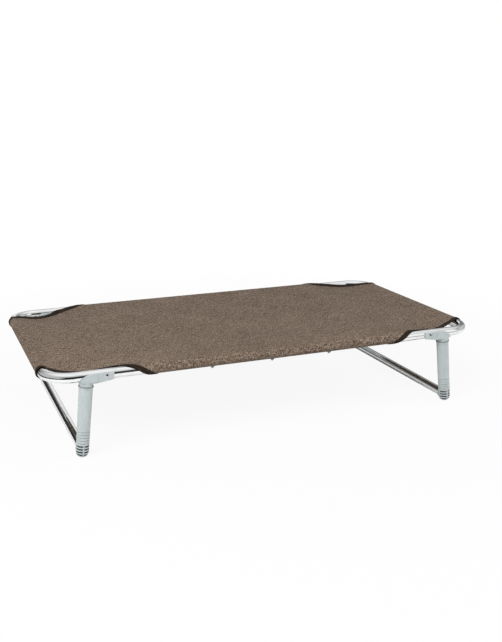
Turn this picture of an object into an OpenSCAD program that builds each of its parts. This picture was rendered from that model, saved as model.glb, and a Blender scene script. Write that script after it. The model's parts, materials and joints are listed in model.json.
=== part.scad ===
// Raised dog cot: a bent tube loop with a stretched fabric cover, standing on
// two folding leg frames. Millimetres, +X along the length, +Y across, +Z up,
// origin on the floor under the middle of the cot.

/* [Frame tube] */
// Length of the tube loop, outside to outside
frame_length = 1198; // [1000:1:1400]
// Width of the tube loop, outside to outside
frame_width = 648; // [500:1:800]
// Height of the top of the tube above the floor
rail_top = 213; // [190:1:260]
// Outside diameter of the frame tube
tube_d = 25; // [22:0.5:28]
// Wall of the frame tube
tube_wall = 1.5; // [1:0.1:2]
// Bend radius of the loop's corners, on the centreline
corner_r = 65; // [50:1:80]

/* [Splices] */
// Gap between the two bent halves where they butt together
butt_gap = 0.2; // [0.1:0.1:1]
// Length of the sleeve inside each butt joint
splice_length = 120; // [100:1:200]
// Wall of the splice sleeve
splice_wall = 1.5; // [1:0.1:2]
// Radial clearance of the sleeve in the tube's bore
splice_clearance = 0.1; // [0.05:0.05:0.2]
// Distance of the splice rivets from the butt joint
splice_rivet_x = 40; // [32:1:46]
// Shank diameter of the splice rivets
splice_rivet_d = 4.8; // [4:0.2:6]
// Length of the splice rivets' tails inside the sleeve
splice_tail = 1.5; // [1:0.1:3]

/* [Cover] */
// Thickness of the fabric
cover_t = 1.2; // [0.8:0.1:2]
// Gap between the fabric and the tube
cover_gap = 0.3; // [0.2:0.05:0.5]
// How far the hem runs inward past the underside of the tube, in degrees
hem_angle = 30; // [15:1:45]
// Corner cut-out: from the end rail's axis to the flap on top of the long rail
cutout_top = 187; // [170:1:230]
// Corner cut-out: from the end rail's axis to the flap under the long rail
cutout_bottom = 252; // [240:1:280]
// How far the cut-out's edge heads inward where it leaves the end rail
edge_end_run = 42; // [25:1:50]
// How far the cut-out's edge heads to the long rail where it leaves the end rail
edge_end_rise = 31; // [15:1:35]
// How far the cut-out's edge heads to the end rail where it leaves the long rail
edge_rail_run = 90; // [70:1:100]
// How far the cut-out's edge heads inward where it leaves the long rail
edge_rail_fall = 23; // [15:1:35]
// Width of the binding tape sewn round the cut-out
tape_w = 12; // [8:0.5:14]
// Thickness of the bound edge
tape_t = 2; // [1.4:0.1:2.6]
// Gap between the binding and the fabric beside it
seam_gap = 0.25; // [0.1:0.05:0.4]

/* [Cover studs] */
// Spacing of the studs under each long rail
stud_pitch = 162; // [120:1:180]
// Shift of the middle stud away from the butt joint
stud_shift = 18; // [10:1:26]
// Spacing of the studs under each end rail
end_stud_pitch = 240; // [180:1:300]
// Shank diameter of a stud
stud_d = 4; // [3:0.2:5]
// Clearance of a stud in its hole
stud_clearance = 0.1; // [0.05:0.05:0.3]
// Diameter of a stud's washer
stud_washer_d = 11; // [9:0.5:13]
// Thickness of a stud's washer
stud_washer_t = 1.2; // [0.8:0.1:2]
// Diameter of a stud's domed head
stud_head_d = 6.5; // [5:0.5:8]
// Height of a stud's head below its washer
stud_head_h = 4.5; // [3:0.5:6]

/* [Leg frames] */
// Distance of a leg frame's pivot from the end of the loop
pivot_inset = 152; // [150:1:170]
// Distance of the leg's axis outboard of the pivot, at the height of the tube
leg_offset = 47; // [44:1:54]
// Outward lean of the legs, in degrees
leg_splay = 6; // [2:0.5:8]
// Diameter of the leg at its rounded foot
foot_d = 31.5; // [30:0.5:32.5]
// How much of the round foot is cut flat to stand on
foot_flat = 1.2; // [0.6:0.1:2]
// Wall of the hollow leg at its top
leg_wall = 3; // [2:0.1:4]
// Height of the solid foot below the leg's bore
foot_solid = 66; // [60:1:75]
// Height of the raised rim at the leg's top
rim_h = 5.5; // [3:0.5:8]
// How far the rim stands out from the leg's skin
rim_step = 0.4; // [0.2:0.1:0.8]

/* [Foot ribs] */
// Spacing of the foot's ribs
rib_pitch = 7.1; // [6:0.1:7.4]
// Height of the lowest slot above the foot's round end
rib_start = 9.1; // [7:0.1:10]
// Number of slots cut between the ribs
slot_count = 4; // [2:1:4]
// Height of a slot
slot_h = 3.8; // [2:0.1:4.2]
// Radius of the core left behind the slots
slot_core_r = 7; // [5:0.5:9]
// Thickness of the upright webs between the slots
web_t = 3; // [2:0.1:5]
// How far the short side slots run behind the leg's axis
side_slot_end = 8; // [6:0.5:9]
// Wall between a side slot and the crossbar's socket
side_slot_wall = 0.9; // [0.6:0.1:1.4]
// Number of shallow grooves above the slots
groove_count = 5; // [3:1:5]
// Radius of a groove's round section
groove_r = 1.6; // [1.2:0.1:2]
// Depth of a groove
groove_depth = 1.1; // [0.4:0.1:1.4]

/* [Leg brackets] */
// Clearance between the tube and the saddle that hugs it
saddle_clearance = 0.3; // [0.2:0.05:0.5]
// Thickness of the bracket's cheeks
cheek_t = 4; // [3:0.1:5]
// Height of the outer cheek's top edge above the tube's axis
cheek_top = 7; // [5:0.5:9]
// Height of the inner cheek's top edge above the tube's axis
inner_cheek_top = 4; // [3:0.5:6]
// Length of the outer cheek inboard of the pivot
nose_length = 16; // [14:0.5:20]
// Depth of the cheek's nose below the tube's axis
nose_drop = 10; // [8:0.5:12]
// Radius of the inner cheek's round nose about the pivot
inner_nose_r = 6.5; // [6:0.5:8]
// Distance from the pivot to where the saddle's floor begins
trough_start = 16; // [15:0.5:18]
// Distance from the pivot to where the arm's underside reaches the elbow's depth
underside_run = 31; // [28:0.5:36]
// Radius of the elbow's lower edges
elbow_round = 5; // [3:0.5:6]
// Ledge left round the neck where the elbow's lower corners are coned off
neck_ledge = 1; // [0.8:0.1:1.5]
// Radius of the elbow's outer shoulder
shoulder_r = 26; // [22:0.5:28]
// Set-back of the arm's faces from the elbow's
arm_step = 0.8; // [0.4:0.1:1.2]
// Distance from the pivot to that step
arm_step_x = 23; // [20:0.5:26]
// Set-back of the round neck and the leg from the elbow's faces
neck_step = 0.3; // [0.2:0.1:0.6]
// Distance along the leg from the tube's axis to the collar
collar_drop = 23; // [21:0.1:25]
// Thickness of the collar ring
collar_h = 1.8; // [1.4:0.1:3]
// How far the collar ring stands out beyond the bracket's neck
collar_lip = 1.7; // [1:0.1:2.5]
// Length of the bracket's spigot inside the leg
spigot_depth = 32; // [24:1:40]
// Wall of the hollow spigot
spigot_wall = 3; // [2:0.1:4]
// Radial clearance of the spigot in the leg and the collar
spigot_clearance = 0.15; // [0.05:0.05:0.3]

/* [Pivot rivets] */
// Shank diameter of a pivot rivet
pin_d = 6; // [5:0.2:7]
// Radial running clearance of the shank
pin_clearance = 0.06; // [0.03:0.01:0.09]
// Bore of the hollow rivet
pin_bore = 3.4; // [2.4:0.1:3.8]
// Diameter of the rivet's heads
pin_head_d = 10; // [8:0.5:12]
// Thickness of the rivet's heads
pin_head_t = 1.6; // [1:0.1:2]

/* [Crossbars] */
// Diameter of the crossbar between two feet
bar_d = 24; // [20:0.5:25]
// Wall of the crossbar
bar_wall = 1.5; // [1:0.1:2]
// Height of the crossbar's axis above the floor
bar_z = 18.6; // [16:0.1:20]
// Distance of the crossbar's end from the leg's axis
bar_end = 3; // [2.6:0.1:5]
// Radial clearance of the crossbar in its socket
bar_clearance = 0.1; // [0.05:0.05:0.2]
// Wall of the socket round the crossbar
socket_wall = 2.6; // [2:0.1:3]
// Distance from the leg's axis to the end of the socket's cuff
cuff_end = 12; // [11:0.5:18]

/* [Hidden] */
$fn = 64;

left = -1;
right = 1;
front = -1;
rear = 1;

aluminium = [0.86, 0.87, 0.88];
rivet_metal = [0.72, 0.73, 0.75];
grey_plastic = [0.73, 0.76, 0.76];
ring_grey = [0.42, 0.44, 0.45];
stud_grey = [0.50, 0.50, 0.50];
taupe_fabric = [0.46, 0.40, 0.36];
brown_tape = [0.16, 0.12, 0.10];

// Overlap that carries a cut clear through a face
cut = 1;

// The loop's centreline: half length, half width and height
tube_r = tube_d / 2;
rail_x = frame_length / 2 - tube_r;
rail_y = frame_width / 2 - tube_r;
rail_z = rail_top - tube_r;
tube_bore_r = tube_r - tube_wall;

// The cover's inner radius where it wraps the tube, and the two skins on it
wrap_r = tube_r + cover_gap;
cover_r = wrap_r + cover_t;
tape_r = wrap_r + tape_t;

// The flaps on the end rails stop where the corner bends begin
end_flap_y = rail_y - corner_r;
flap_top_x = rail_x - cutout_top;
flap_bottom_x = rail_x - cutout_bottom;

// Width of the tape along the rail, where its edge slants round the tube
slant = atan2(PI * cover_r, flap_top_x - flap_bottom_x);
tape_dx = tape_w / sin(slant);

// Steps along the cut-out's curve and round its slant
curve_steps = 14;
slant_steps = 10;

// Stud places: [x, y] on the rails, under the tube
stud_x = [for (i = [-1:1]) i * stud_pitch - stud_shift];
long_studs = [for (x = stud_x, s = [front, rear]) [x, s * rail_y]];
end_studs = [for (s = [left, right], e = [-1, 1]) [s * rail_x, e * end_stud_pitch / 2]];
studs = concat(long_studs, end_studs);
stud_hole_r = stud_d / 2 + stud_clearance;

// Splice sleeve and its rivets
splice_r = tube_bore_r - splice_clearance;
splice_rivet_r = splice_rivet_d / 2;
splice_rivet_grip = tube_wall + splice_clearance + splice_wall;
splice_head_d = 2 * splice_rivet_d;
splice_head_t = splice_rivet_d / 3;

// Leg frame: pivot, saddle and neck
pivot_x = frame_length / 2 - pivot_inset;
saddle_r = tube_r + saddle_clearance;
elbow_r = saddle_r + cheek_t;
arm_face = elbow_r - arm_step;
neck_r = elbow_r - neck_step;
leg_r = neck_r;
// Fall of the arm's underside from its nose to the elbow
underside_slope = (elbow_r - nose_drop) / (nose_length + underside_run);
leg_bore_r = leg_r - leg_wall;
spigot_r = leg_bore_r - spigot_clearance;
foot_r = foot_d / 2;
leg_top = collar_drop + collar_h;
// Distance down the leg's axis to the centre of the round foot
foot_axial = (rail_z - foot_r + foot_flat) / cos(leg_splay);
// Centre of the elbow's shoulder, tangent to the cheek's top and the elbow's outer face
shoulder_w = cheek_top - shoulder_r;
shoulder_u = leg_offset + (elbow_r - shoulder_r - shoulder_w * sin(leg_splay)) / cos(leg_splay);
pin_hole_r = pin_d / 2 + pin_clearance;
// Where the leg's axis passes the crossbar
bar_x = pivot_x + leg_offset + (rail_z - bar_z) * tan(leg_splay);
socket_r = bar_d / 2 + bar_clearance;
socket_end = bar_end - bar_clearance;

// A point of a cubic curve
function curve(p, t) = pow(1 - t, 3) * p[0] + 3 * pow(1 - t, 2) * t * p[1]
    + 3 * (1 - t) * pow(t, 2) * p[2] + pow(t, 3) * p[3];

// The slope of a cubic curve
function curve_slope(p, t) = 3 * pow(1 - t, 2) * (p[1] - p[0])
    + 6 * (1 - t) * t * (p[2] - p[1]) + 3 * pow(t, 2) * (p[3] - p[2]);

// The cut-out's edge in plan, from the end rail to the long rail
cutout_curve = [
    [rail_x, end_flap_y],
    [rail_x - edge_end_run, end_flap_y + edge_end_rise],
    [flap_top_x + edge_rail_run, rail_y - edge_rail_fall],
    [flap_top_x, rail_y]
];

// The edge in plan, set a distance into the fabric from the cut-out's curve
function edge_point(t, inset) =
    let (d = curve_slope(cutout_curve, t))
    curve(cutout_curve, t) + inset * [-d[1], d[0]] / norm(d);
function edge_in_plan(inset) =
    [for (i = [0:curve_steps]) edge_point(i / curve_steps, inset)];

// The same edge between the ends of both flaps, with its inset along each rail
function flap_edge(inset) = inset == 0 ? edge_in_plan(0) : concat(
    [[rail_x, end_flap_y - inset]],
    [for (p = edge_in_plan(inset)) if (p[0] < rail_x && p[1] < rail_y) p],
    [[flap_top_x - inset * tape_dx / tape_w, rail_y]]
);

// The slanting edge of a long flap seen from the side, [x, height over the axis]
function slant_edge(inset) = [
    for (i = [0:slant_steps])
    let (a = 90 - 180 * i / slant_steps)
    [
        flap_bottom_x + (flap_top_x - flap_bottom_x) * (a + 90) / 180 - inset * tape_dx / tape_w,
        wrap_r * sin(a)
    ]
];

function reversed(list) = [for (i = [len(list) - 1:-1:0]) list[i]];
function mirrored(list, sx, sy) = [for (p = list) [sx * p[0], sy * p[1]]];

// Puts a piece modelled at the front right corner at any corner
module at_corner(end, side) {
    mirror([end == left ? 1 : 0, 0, 0])
        mirror([0, side == rear ? 1 : 0, 0])
            children();
}

// A round bar along the right half of the loop, solid
module half_loop(r, start) {
    bend_x = rail_x - corner_r;
    bend_y = rail_y - corner_r;
    translate([0, 0, rail_z]) {
        for (s = [front, rear])
            translate([start, s * rail_y, 0])
                rotate([0, 90, 0])
                    cylinder(r = r, h = bend_x - start);
        translate([bend_x, bend_y, 0])
            rotate_extrude(angle = 90)
                translate([corner_r, 0])
                    circle(r = r);
        translate([bend_x, -bend_y, 0])
            rotate([0, 0, -90])
                rotate_extrude(angle = 90)
                    translate([corner_r, 0])
                        circle(r = r);
        translate([rail_x, -bend_y, 0])
            rotate([-90, 0, 0])
                cylinder(r = r, h = 2 * bend_y);
    }
}

// Upright holes under the rails, at every stud, up past the bore's lower wall
module stud_holes(r) {
    for (p = studs)
        translate([p[0], p[1], rail_z - tube_r - cover_gap - cover_t - cut])
            cylinder(r = r, h = tube_wall + splice_wall + cover_gap + cover_t + 3 * cut);
}

// Holes from the inner side of the rails through the tube and the sleeve
module splice_holes() {
    for (e = [left, right], s = [front, rear])
        translate([e * splice_rivet_x, s * (rail_y - tube_r - cut), rail_z])
            rotate([-90 * s, 0, 0])
                cylinder(r = splice_rivet_r, h = splice_rivet_grip + 2 * cut);
}

// One bent half of the loop, drilled for pivots, studs and splice rivets
module frame_tube(end) {
    color(aluminium)
        difference() {
            mirror([end == left ? 1 : 0, 0, 0])
                difference() {
                    half_loop(tube_r, butt_gap / 2);
                    half_loop(tube_bore_r, butt_gap / 2 - cut);
                    translate([pivot_x, -rail_y - 2 * tube_r, rail_z])
                        rotate([-90, 0, 0])
                            cylinder(r = pin_hole_r, h = 2 * rail_y + 4 * tube_r);
                }
            stud_holes(stud_hole_r);
            splice_holes();
        }
}

// Sleeve inside a butt joint of the loop
module splice_sleeve(side) {
    color(aluminium)
        difference() {
            translate([-splice_length / 2, side * rail_y, rail_z])
                rotate([0, 90, 0])
                    difference() {
                        cylinder(r = splice_r, h = splice_length);
                        translate([0, 0, -cut])
                            cylinder(r = splice_r - splice_wall, h = splice_length + 2 * cut);
                    }
            stud_holes(stud_hole_r);
            splice_holes();
        }
}

// A domed rivet head seated on z = 0, its top up
module domed_head(d, t) {
    cap_r = (pow(d / 2, 2) + pow(t, 2)) / (2 * t);
    intersection() {
        translate([0, 0, t - cap_r])
            sphere(r = cap_r);
        cylinder(d = d, h = t);
    }
}

// Blind rivets through the splices, heads on the inner side of the rails
module splice_rivets() {
    color(rivet_metal)
        for (e = [left, right], s = [front, rear])
            translate([e * splice_rivet_x, s * (rail_y - tube_r), rail_z])
                rotate([90 * s, 0, 0]) {
                    domed_head(splice_head_d, splice_head_t);
                    translate([0, 0, -splice_rivet_grip - splice_tail])
                        cylinder(r = splice_rivet_r, h = splice_rivet_grip + splice_tail);
                }
}

// Section of a skin wrapped round a rail, x pointing out and y up: from the
// top of the tube over its outer side to the hem under it
module wrap_section(r) {
    far = 2 * r;
    difference() {
        circle(r = r);
        circle(r = wrap_r);
        polygon([[0, 0], [0, far], [-far, far], [-far, -far / tan(hem_angle)]]);
    }
}

// A skin over the right end rail, between two places across the cot
module end_wrap(r, y_from, y_to) {
    translate([rail_x, y_to, rail_z])
        rotate([90, 0, 0])
            linear_extrude(y_to - y_from)
                wrap_section(r);
}

// A skin over the front rail, along the whole cot, ready to be trimmed
module long_wrap(r) {
    translate([-rail_x, -rail_y, rail_z])
        rotate([90, 0, 90])
            linear_extrude(2 * rail_x)
                mirror([1, 0])
                    wrap_section(r);
}

// A side view outline carried across the front rail
module rail_side_view(points) {
    translate([0, -rail_y + 2 * tape_r, rail_z])
        rotate([90, 0, 0])
            linear_extrude(4 * tape_r)
                polygon(points);
}

// The stretched fabric: a flat panel on the rails and four flaps round them
module fabric_cover() {
    inset = tape_w + seam_gap;
    corner = flap_edge(inset);
    outline = concat(
        mirrored(corner, right, rear), reversed(mirrored(corner, left, rear)),
        mirrored(corner, left, front), reversed(mirrored(corner, right, front))
    );
    slope = slant_edge(inset);
    flap = concat(
        [[slope[0][0], 2 * cover_r]], slope, [[slope[slant_steps][0], -2 * cover_r]]
    );
    color(taupe_fabric)
        difference() {
            union() {
                translate([0, 0, rail_z + wrap_r])
                    linear_extrude(cover_t)
                        polygon(outline);
                for (e = [left, right])
                    mirror([e == left ? 1 : 0, 0, 0])
                        end_wrap(cover_r, inset - end_flap_y, end_flap_y - inset);
                for (s = [front, rear])
                    mirror([0, s == rear ? 1 : 0, 0])
                        intersection() {
                            long_wrap(cover_r);
                            rail_side_view(concat(flap, mirrored(reversed(flap), -1, 1)));
                        }
            }
            stud_holes(stud_hole_r);
        }
}

// The bound edge round one corner cut-out, from flap to flap
module binding(end, side) {
    plan = concat(flap_edge(0), reversed(flap_edge(tape_w)));
    outer = slant_edge(0);
    inner = slant_edge(tape_w);
    slanted = concat(
        [[inner[0][0], 2 * tape_r], [outer[0][0], 2 * tape_r]], outer,
        [[outer[slant_steps][0], -2 * tape_r], [inner[slant_steps][0], -2 * tape_r]],
        reversed(inner)
    );
    color(brown_tape)
        at_corner(end, side) {
            translate([0, 0, rail_z + wrap_r])
                linear_extrude(tape_t)
                    polygon(mirrored(plan, right, front));
            end_wrap(tape_r, -end_flap_y, tape_w - end_flap_y);
            intersection() {
                long_wrap(tape_r);
                rail_side_view(slanted);
            }
        }
}

// Studs that hold the hem to the underside of the rails
module cover_studs() {
    shank = cover_t + cover_gap + tube_wall + splice_clearance + splice_wall;
    color(stud_grey)
        for (p = studs)
            translate([p[0], p[1], rail_z - cover_r]) {
                translate([0, 0, -stud_washer_t])
                    cylinder(d = stud_washer_d, h = stud_washer_t);
                cylinder(d = stud_d, h = shank);
                translate([0, 0, -stud_washer_t])
                    mirror([0, 0, 1])
                        domed_head(stud_head_d, stud_head_h);
            }
}

// Places a shape on the front right pivot: x outboard, y across, z up
module at_pivot() {
    translate([pivot_x, -rail_y, rail_z])
        children();
}

// Places a shape on the front right leg: z down the leg from the tube's axis
module on_leg() {
    at_pivot()
        translate([leg_offset, 0, 0])
            rotate([0, -leg_splay, 0])
                mirror([0, 0, 1])
                    children();
}

// A side view outline carried across the bracket, between two places in y
module bracket_side_view(y_from, y_to) {
    translate([0, y_to, 0])
        rotate([90, 0, 0])
            linear_extrude(y_to - y_from)
                children();
}

// Round shoulder of the elbow, and all that lies inboard of and below it
module shoulder_outline() {
    nose_u = -nose_length - cut;
    foot_u = leg_offset + 2 * leg_top * tan(leg_splay) + elbow_r / cos(leg_splay);
    tangent_u = shoulder_u + shoulder_r * cos(leg_splay);
    tangent_w = shoulder_w + shoulder_r * sin(leg_splay);
    translate([shoulder_u, shoulder_w])
        circle(r = shoulder_r);
    polygon([
        [nose_u, cheek_top], [shoulder_u, cheek_top], [shoulder_u, shoulder_w],
        [tangent_u, tangent_w], [foot_u, -2 * leg_top], [nose_u, -2 * leg_top]
    ]);
}

// Outline of the arm: a square nose, a straight underside down to the elbow
module arm_outline() {
    top = cheek_top + cut;
    end_u = leg_offset + elbow_r;
    floor_u = underside_run + cut / underside_slope;
    polygon([
        [-nose_length, top], [-nose_length, -nose_drop], [floor_u, -elbow_r - cut],
        [end_u, -elbow_r - cut], [end_u, top]
    ]);
}

// What the inner cheek lacks of that outline: it is lower, with a round nose
module inner_cheek_relief() {
    far = 2 * (leg_offset + elbow_r);
    difference() {
        translate([-far, -far])
            square(2 * far);
        circle(r = inner_nose_r);
        polygon([
            [0, inner_cheek_top], [0, -inner_nose_r], [trough_start / 2, -elbow_r - cut],
            [far + cut, -elbow_r - cut], [far + cut, inner_cheek_top]
        ]);
    }
}

// Section of the arm and the elbow: flat cheeks, rounded lower edges
module elbow_section() {
    flat = elbow_r - elbow_round;
    translate([-elbow_r, -flat])
        square([2 * elbow_r, flat + 2 * elbow_r]);
    translate([-flat, -elbow_r])
        square([2 * flat, 2 * elbow_r]);
    for (s = [front, rear])
        translate([s * flat, -flat])
            circle(r = elbow_round);
}

// Section of the trough that hugs the tube: round below, straight above
module trough_section() {
    circle(r = saddle_r);
    translate([-saddle_r, 0])
        square([2 * saddle_r, 2 * elbow_r]);
}

// A section carried along the arm, from a distance from the pivot to past the elbow
module along_arm(start) {
    translate([start, 0, 0])
        rotate([90, 0, 90])
            linear_extrude(leg_offset + 2 * elbow_r - start)
                children();
}

// What lies outside a cone that leads the elbow's lower corners down to the neck
module lower_corners() {
    ledge_r = neck_r + neck_ledge;
    difference() {
        at_pivot()
            translate([leg_offset, -2 * elbow_r, -2 * elbow_r])
                cube([2 * elbow_r, 4 * elbow_r, 2 * elbow_r]);
        on_leg()
            cylinder(r1 = ledge_r + elbow_r, r2 = ledge_r, h = elbow_r);
    }
}

// Moulded elbow: cheeks and a trough on the tube, a round neck and a spigot
module leg_bracket(end, side) {
    color(grey_plastic)
        at_corner(end, side)
            difference() {
                union() {
                    difference() {
                        at_pivot()
                            intersection() {
                                along_arm(-nose_length - cut)
                                    elbow_section();
                                bracket_side_view(-elbow_r - cut, elbow_r + cut)
                                    intersection() {
                                        arm_outline();
                                        shoulder_outline();
                                    }
                            }
                        at_pivot()
                            bracket_side_view(0, elbow_r + cut)
                                inner_cheek_relief();
                        lower_corners();
                    }
                    intersection() {
                        on_leg()
                            cylinder(r = neck_r, h = collar_drop);
                        at_pivot()
                            bracket_side_view(-elbow_r - cut, elbow_r + cut)
                                shoulder_outline();
                    }
                    on_leg()
                        translate([0, 0, saddle_r])
                            cylinder(r = spigot_r, h = leg_top + spigot_depth - saddle_r);
                }
                at_pivot() {
                    along_arm(trough_start - cut)
                        trough_section();
                    translate([-nose_length - cut, -saddle_r, -2 * elbow_r])
                        cube([nose_length + cut + trough_start, 2 * saddle_r, 4 * elbow_r]);
                    rotate([90, 0, 0])
                        cylinder(r = pin_hole_r, h = 4 * elbow_r, center = true);
                    for (s = [front, rear])
                        translate([-nose_length - cut, s * elbow_r - arm_step, -2 * elbow_r])
                            cube([nose_length + cut + arm_step_x, 2 * arm_step, 4 * elbow_r]);
                }
                on_leg()
                    translate([0, 0, leg_top])
                        cylinder(r = spigot_r - spigot_wall, h = spigot_depth + cut);
            }
}

// Hollow rivet through both cheeks and the tube
module pivot_rivet(end, side) {
    color(rivet_metal)
        at_corner(end, side)
            at_pivot()
                rotate([90, 0, 0])
                    difference() {
                        union() {
                            cylinder(d = pin_d, h = 2 * arm_face, center = true);
                            translate([0, 0, arm_face])
                                domed_head(pin_head_d, pin_head_t);
                            mirror([0, 0, 1])
                                translate([0, 0, arm_face])
                                    domed_head(pin_head_d, pin_head_t);
                        }
                        cylinder(d = pin_bore, h = 4 * elbow_r, center = true);
                    }
}

// Ring trapped between the bracket's neck and the top of the leg
module leg_collar(end, side) {
    color(ring_grey)
        at_corner(end, side)
            on_leg()
                translate([0, 0, collar_drop])
                    difference() {
                        cylinder(r = neck_r + collar_lip, h = collar_h);
                        translate([0, 0, -cut])
                            cylinder(r = spigot_r + spigot_clearance, h = collar_h + 2 * cut);
                    }
}

// Distance down the leg to the rib of a given number, counted from the foot
function rib_axial(i) = foot_axial + foot_r - rib_start - i * rib_pitch;

// Radius of the tapering leg at a distance down its axis
function leg_radius(d) = leg_r + (foot_r - leg_r) * (d - leg_top) / (foot_axial - leg_top);

// Slots between the foot's ribs: deep ones on the two outer quarters, and short
// shallow ones on each side beside the crossbar's socket
module foot_slots() {
    for (i = [1:slot_count - 1], s = [0, 1])
        mirror([s, 0, 0])
            translate([socket_r + side_slot_wall, web_t / 2, rib_axial(i) - slot_h / 2])
                cube([foot_r, side_slot_end - web_t / 2, slot_h]);
    for (i = [0:slot_count - 1])
        translate([0, 0, rib_axial(i) - slot_h / 2])
            difference() {
                translate([-2 * foot_r, -2 * foot_r, 0])
                    cube([4 * foot_r, 2 * foot_r - web_t / 2, slot_h]);
                translate([0, 0, -cut])
                    cylinder(r = slot_core_r, h = slot_h + 2 * cut);
                translate([-web_t / 2, -2 * foot_r - cut, -cut])
                    cube([web_t, 2 * foot_r + 2 * cut, slot_h + 2 * cut]);
            }
}

// Half section of the leg, x out from its axis and y down it: a tapered
// sleeve with a rim and a round foot, grooved above the slots and bored from the top
module leg_section() {
    rim_end = leg_top + rim_h;
    bore_end = foot_axial + foot_r - foot_solid;
    difference() {
        union() {
            polygon([
                [0, leg_top], [leg_r + rim_step, leg_top], [leg_r + rim_step, rim_end],
                [leg_radius(rim_end), rim_end], [foot_r, foot_axial], [0, foot_axial]
            ]);
            intersection() {
                translate([0, foot_axial])
                    circle(r = foot_r);
                translate([0, foot_axial])
                    square(2 * foot_r);
            }
        }
        for (i = [slot_count:slot_count + groove_count - 1])
            translate([leg_radius(rib_axial(i)) + groove_r - groove_depth, rib_axial(i)])
                circle(r = groove_r);
        translate([-cut, leg_top - cut])
            square([leg_bore_r + cut, bore_end - leg_top + cut]);
    }
}

// Moulded leg: a hollow tapered sleeve with a ribbed, slotted foot and the
// crossbar's socket on its inner side
module leg(end, side) {
    color(grey_plastic)
        at_corner(end, side)
            difference() {
                union() {
                    on_leg()
                        rotate_extrude()
                            leg_section();
                    translate([bar_x, -rail_y, bar_z])
                        rotate([-90, 0, 0])
                            cylinder(r = socket_r + socket_wall, h = cuff_end);
                }
                on_leg()
                    foot_slots();
                translate([bar_x, socket_end - rail_y, bar_z])
                    rotate([-90, 0, 0])
                        cylinder(r = socket_r, h = foot_r + cuff_end);
                translate([bar_x - 2 * foot_d, -rail_y - 2 * foot_d, -2 * foot_d])
                    cube([4 * foot_d, 4 * foot_d, 2 * foot_d]);
            }
}

// Tube between the two feet of a leg frame
module crossbar(end) {
    half = rail_y - bar_end;
    color(aluminium)
        translate([end * bar_x, -half, bar_z])
            rotate([-90, 0, 0])
                difference() {
                    cylinder(d = bar_d, h = 2 * half);
                    translate([0, 0, -cut])
                        cylinder(d = bar_d - 2 * bar_wall, h = 2 * half + 2 * cut);
                }
}

frame_tube(left);  // frame_tube_left
frame_tube(right);  // frame_tube_right
splice_sleeve(front);  // splice_sleeve_front
splice_sleeve(rear);  // splice_sleeve_rear
splice_rivets();
fabric_cover();
binding(left, front);  // binding_front_left
binding(right, front);  // binding_front_right
binding(left, rear);  // binding_rear_left
binding(right, rear);  // binding_rear_right
cover_studs();
leg_bracket(left, front);  // leg_bracket_front_left
leg_bracket(left, rear);  // leg_bracket_rear_left
pivot_rivet(left, front);  // pivot_rivet_front_left
pivot_rivet(left, rear);  // pivot_rivet_rear_left
leg_collar(left, front);  // leg_collar_front_left
leg_collar(left, rear);  // leg_collar_rear_left
leg(left, front);  // leg_front_left
leg(left, rear);  // leg_rear_left
crossbar(left);  // crossbar_left
leg_bracket(right, front);  // leg_bracket_front_right
leg_bracket(right, rear);  // leg_bracket_rear_right
pivot_rivet(right, front);  // pivot_rivet_front_right
pivot_rivet(right, rear);  // pivot_rivet_rear_right
leg_collar(right, front);  // leg_collar_front_right
leg_collar(right, rear);  // leg_collar_rear_right
leg(right, front);  // leg_front_right
leg(right, rear);  // leg_rear_right
crossbar(right);  // crossbar_right
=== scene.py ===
import json
import math

import bpy
import numpy as np
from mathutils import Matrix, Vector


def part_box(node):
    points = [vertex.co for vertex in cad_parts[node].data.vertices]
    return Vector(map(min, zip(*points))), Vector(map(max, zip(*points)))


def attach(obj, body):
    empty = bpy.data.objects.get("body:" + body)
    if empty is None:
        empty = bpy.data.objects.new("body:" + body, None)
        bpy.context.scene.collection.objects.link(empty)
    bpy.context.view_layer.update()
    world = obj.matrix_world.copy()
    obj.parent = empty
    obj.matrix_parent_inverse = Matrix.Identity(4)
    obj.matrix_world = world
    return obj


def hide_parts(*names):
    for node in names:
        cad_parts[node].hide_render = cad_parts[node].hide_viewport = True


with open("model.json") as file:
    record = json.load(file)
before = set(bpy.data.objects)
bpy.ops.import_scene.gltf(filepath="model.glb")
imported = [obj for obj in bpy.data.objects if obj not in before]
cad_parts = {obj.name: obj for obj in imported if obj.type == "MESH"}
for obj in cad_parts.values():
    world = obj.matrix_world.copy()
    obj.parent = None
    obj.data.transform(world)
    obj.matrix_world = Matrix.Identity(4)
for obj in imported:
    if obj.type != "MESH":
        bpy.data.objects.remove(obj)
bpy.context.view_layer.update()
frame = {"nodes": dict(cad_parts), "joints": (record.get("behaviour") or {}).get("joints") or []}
nodes = frame["nodes"]

# Frame tube and crossbars
# The closed loop and the two floor bars are drawn aluminium tube, bent and then
# polished. Fine draw marks run along the tube, and handling has dulled the
# polish here and there.


def node_box(name):
    """A CAD node's lowest and highest corner in metres, to the micrometre that its mesh keeps."""
    return [[round(value, 6) for value in corner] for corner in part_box(name)]


tube_low, tube_high = node_box("frame_tube_right")
TUBE_R = (tube_high[2] - tube_low[2]) / 2
RAIL_X, RAIL_Y, RAIL_Z = (reach - TUBE_R for reach in tube_high)
CORNER_R = 0.065
BRIGHT_METAL = (0.86, 0.865, 0.87, 1)
DULL_METAL = (0.72, 0.73, 0.745, 1)
DULL_PATCHES = 26
DRAW_LINES, DRAW_DEPTH = (1100, 7, 1100), 0.000012


def fill(tree, placed, inputs):
    """Gives the sockets of a shader node their values or links."""
    for name, value in inputs.items():
        if isinstance(value, bpy.types.NodeSocket):
            tree.links.new(value, placed.inputs[name])
        else:
            placed.inputs[name].default_value = value


def shade(tree, kind, inputs=None, **settings):
    """Adds one shader node: settings are its own choices, inputs its sockets' values or links."""
    added = tree.nodes.new("ShaderNode" + kind)
    for name, value in settings.items():
        setattr(added, name, value)
    fill(tree, added, inputs or {})
    return added


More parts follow.
